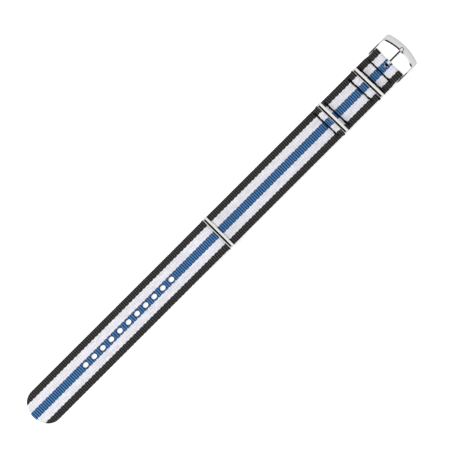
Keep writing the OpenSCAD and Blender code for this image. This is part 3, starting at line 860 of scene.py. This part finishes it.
def buildFrame():
    arm, bar = np.array(armSection()), np.array(barSection())
    b = buckle
    points = []
    stations = frameStations()
    for inner, outer, turned, tall in stations:
        section = arm + (bar - arm) * turned
        x = (inner[0] + outer[0]) / 2
        fallen = min(max((x - b["armBend"]) / (b["armEnd"] - b["armBend"]), 0), 1)
        middle = barZ + (b["barHalf"] - barZ) * fallen
        for share, up in section:
            points.append((inner[0] + (outer[0] - inner[0]) * share,
                           inner[1] + (outer[1] - inner[1]) * share, middle + up * tall))
    faces = skinFaces(len(stations), len(arm)) + endFaces(len(stations), len(arm))
    piece = newPiece("buckle_casting", points, faces, "frame",
                     [steels["frame"]], sharp=20)
    half, floorZ, end = b["notch"]
    notch = [(128, -half), (end - half, -half)] + corner(end - half, 0, half, -80, 80, 17)
    notch += [(end - half, half), (128, half)]
    holes = []
    for side in (-1, 1):
        ring = corner(barX, barZ, 0.43, 0, 345, 24)
        low, high = sorted((side * (b["armIn"] - 0.5), side * (b["armOut"] + 0.5)))
        rim = [(x, y, z) for y in (low, high) for x, z in ring]
        holes.append((rim, prism(ring, low, high)[1]))
    cutOut(piece, [prism(notch, floorZ, 5)] + holes, steels["frame"], 20)
    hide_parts("buckle_frame")


# The tongue: a bar flattened along its length and rolled round the spring bar. Stations are
# (x, z, width, thickness) along its middle
tongue = {
    "loop": (1.03, 0.45),    # radius at the middle of the wall, and the wall
    "loopWidth": 1.6,
    "shankWidth": 1.5,
    "shankThick": 1.0,
    "shankFrom": (123.3, 2.01),
    "fall": 2.73,            # slope of the shank, in degrees
    "dropFrom": 130.8,       # the tip bends down from here
    "tipHalf": 0.83,
    "tipEnd": 132.7,
    "tipThick": 0.76,
    "squareness": 3.0,       # of the section: 2 is round
}


def tongueStations():
    t = tongue
    radius, wall = t["loop"]
    stations = []
    for k in range(57):
        a = math.radians(-38 - 276 * k / 56)
        stations.append((barX + radius * math.cos(a), barZ + radius * math.sin(a),
                         t["loopWidth"], wall))
    x0, z0 = stations[-1][:2]
    x1, z1 = t["shankFrom"]
    heading = math.radians(-38 - 276 - 90)
    fall = math.tan(math.radians(t["fall"]))
    for k in range(1, 13):
        u = k / 12
        h00, h10 = 2 * u ** 3 - 3 * u ** 2 + 1, u ** 3 - 2 * u ** 2 + u
        h01, h11 = 1 - h00, u ** 3 - u ** 2
        x = h00 * x0 + h10 * 1.3 * math.cos(heading) + h01 * x1 + h11 * 1.3
        z = h00 * z0 + h10 * 1.3 * math.sin(heading) + h01 * z1 - h11 * 1.3 * fall
        swell = u * u * (3 - 2 * u)
        stations.append((x, z, t["loopWidth"] + (t["shankWidth"] - t["loopWidth"]) * swell,
                         wall + (t["shankThick"] - wall) * swell))
    tipMiddle = t["tipEnd"] - t["tipHalf"]
    xs = list(np.linspace(x1, t["dropFrom"], 12)[1:])
    xs += list(np.linspace(t["dropFrom"], tipMiddle, 10)[1:])
    xs += [tipMiddle + t["tipHalf"] * math.sin(math.radians(a)) for a in range(6, 89, 6)]
    for x in xs:
        past = max(x - t["dropFrom"], 0)
        share = past / (t["tipEnd"] - t["dropFrom"])
        swell = min(past / 1.0, 1.0)
        width = t["shankWidth"] + (2 * t["tipHalf"] - t["shankWidth"]) * swell * swell * (3 - 2 * swell)
        end = max(x - tipMiddle, 0) / t["tipHalf"]
        thick = t["shankThick"] + (t["tipThick"] - t["shankThick"]) * share
        stations.append((x, z1 - fall * (x - x1) - 0.03 * past ** 2, width * math.sqrt(1 - end * end),
                         thick * (1 - end * end) ** 0.25))
    return stations


def buildTongue():
    stations = np.array(tongueStations())
    ahead = np.gradient(stations[:, :2], axis=0)
    ahead /= np.linalg.norm(ahead, axis=1)[:, None]
    power = 2 / tongue["squareness"]
    turns = [2 * math.pi * (k + 0.5) / 32 for k in range(32)]
    across = np.array([math.copysign(abs(math.cos(a)) ** power, math.cos(a)) for a in turns])
    upward = np.array([math.copysign(abs(math.sin(a)) ** power, math.sin(a)) for a in turns])
    x, z, width, thick = stations.T
    up = upward[None, :] * thick[:, None] / 2
    points = np.stack([x[:, None] - up * ahead[:, 1:2], across[None, :] * width[:, None] / 2,
                       z[:, None] + up * ahead[:, 0:1]], axis=2).reshape(-1, 3)
    faces = skinFaces(len(stations), len(turns)) + endFaces(len(stations), len(turns))
    piece = newPiece("buckle_prong", points, faces, "tongue",
                     [steels["tongue"]], sharp=60)
    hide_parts("buckle_tongue")


buildFrame()
buildTongue()
print("buckle finished")


# White paper on a light table: the glow from below takes away the shadow, as in a catalogue picture
def paperSweep():
    material, tree, shader = newMaterial("matt_white_paper")
    place = addNode(tree, "ShaderNodeTexCoord").outputs["Object"]
    mottle = addNode(tree, "ShaderNodeTexNoise", {"Vector": place, "Scale": 40.0, "Detail": 2.0})
    ramp = addNode(tree, "ShaderNodeValToRGB", {0: mottle.outputs[0]})
    ramp.color_ramp.elements[0].color = toLinear("#f6f6f6")
    ramp.color_ramp.elements[1].color = toLinear("#f9f9f9")
    tree.links.new(ramp.outputs[0], shader.inputs["Base Color"])
    shader.inputs["Roughness"].default_value = 0.9
    shader.inputs["Emission Color"].default_value = (1, 1, 1, 1)
    shader.inputs["Emission Strength"].default_value = 0.5
    reach, count = 3000, 12
    ticks = [reach * (2 * k / count - 1) for k in range(count + 1)]
    points = [(x, y, -0.02) for x in ticks for y in ticks]
    side = count + 1
    faces = [(i * side + k, (i + 1) * side + k, (i + 1) * side + k + 1, i * side + k + 1)
             for i in range(count) for k in range(count)]
    floor = newPiece("paper", points, faces, None, [material])


paperSweep()


tent = {
    # Shapes overhead, in degrees from straight up: middle towards +X and +Y, half length, half width,
    # and how bright against the tent. The first is the hole for the lens. The others are cards, placed
    # so that polished edges mirror them in the main view. All are also mirrored under the floor
    "shapes": [
        (3.5, 0, 14.5, 19, 0.0),
        (-36, -8.8, 8, 11.7, 0.0),
        (-36, 18.5, 8, 6.3, 0.0),
        (-66, 0, 19, 9, 0.0),
        (-33.5, 7.4, 5, 4.2, 1.7),
    ],
    # Brightness towards the buckle end, against the sine of the angle from straight up
    "buckleSide": [(0.0, 0.88), (0.28, 0.72), (0.4, 0.85), (0.5, 1.03), (0.65, 1.05), (0.8, 0.95),
                   (0.93, 0.88), (0.97, 1.0)],
    "horizon": 0.6,
    "horizonTop": 0.3,
}


# A white tent all round with a dark opening above for the lens, and darker at the foot
def lightTent():
    world = bpy.data.worlds.new("light_tent")
    bpy.context.scene.world = world
    world.use_nodes = True
    tree = world.node_tree
    way = addNode(tree, "ShaderNodeTexCoord").outputs["Generated"]
    split = addNode(tree, "ShaderNodeSeparateXYZ", {0: way})
    ramp = addNode(tree, "ShaderNodeValToRGB", {0: split.outputs[0]})
    points = ramp.color_ramp.elements
    points.remove(points[1])
    points[0].position = tent["buckleSide"][0][0]
    points[0].color = (tent["buckleSide"][0][1],) * 3 + (1,)
    for place, level in tent["buckleSide"][1:]:
        points.new(place).color = (level, level, level, 1)
    foot = addNode(tree, "ShaderNodeMapRange", {"Value": split.outputs[2], "From Min": 0.0,
                                                "From Max": tent["horizonTop"],
                                                "To Min": tent["horizon"], "To Max": 1.0},
                   interpolation_type="SMOOTHSTEP")
    level = foot
    for *angles, bright in tent["shapes"]:
        x, y, halfLong, halfWide = (math.sin(math.radians(a)) for a in angles)
        offset = addNode(tree, "ShaderNodeVectorMath", {0: way, 1: (x, y, 0)}, operation="SUBTRACT")
        share = addNode(tree, "ShaderNodeVectorMath",
                        {0: offset.outputs[0], 1: (1 / halfLong, 1 / halfWide, 0)},
                        operation="MULTIPLY")
        square = addNode(tree, "ShaderNodeVectorMath", {0: share.outputs[0], 1: share.outputs[0]},
                         operation="MULTIPLY")
        apart = addNode(tree, "ShaderNodeVectorMath", {0: square.outputs[0]}, operation="LENGTH")
        clear = addNode(tree, "ShaderNodeMath", {0: apart.outputs["Value"], 1: 1.0},
                        operation="GREATER_THAN")
        lit = addNode(tree, "ShaderNodeMath", {0: clear.outputs[0], 1: 1 - bright, 2: bright},
                      operation="MULTIPLY_ADD")
        level = addNode(tree, "ShaderNodeMath", {0: level.outputs[0], 1: lit.outputs[0]},
                        operation="MULTIPLY")
    tree.links.new(ramp.outputs[0], tree.nodes["Background"].inputs[0])
    tree.links.new(level.outputs[0], tree.nodes["Background"].inputs[1])


def softLight(name, place, size, power):
    light = bpy.data.lights.new(name, "AREA")
    light.size = size
    light.energy = power
    lamp = bpy.data.objects.new(name, light)
    lamp.location = place
    aim = -lamp.location
    lamp.rotation_euler = aim.to_track_quat("-Z", "Y").to_euler()
    lamp.visible_glossy = False  # kept out of reflections, where it would hide a card of the tent
    bpy.context.scene.collection.objects.link(lamp)


lightTent()
softLight("soft_key", (-0.7, 0.45, 0.9), 0.7, 9)
print("tent lit")
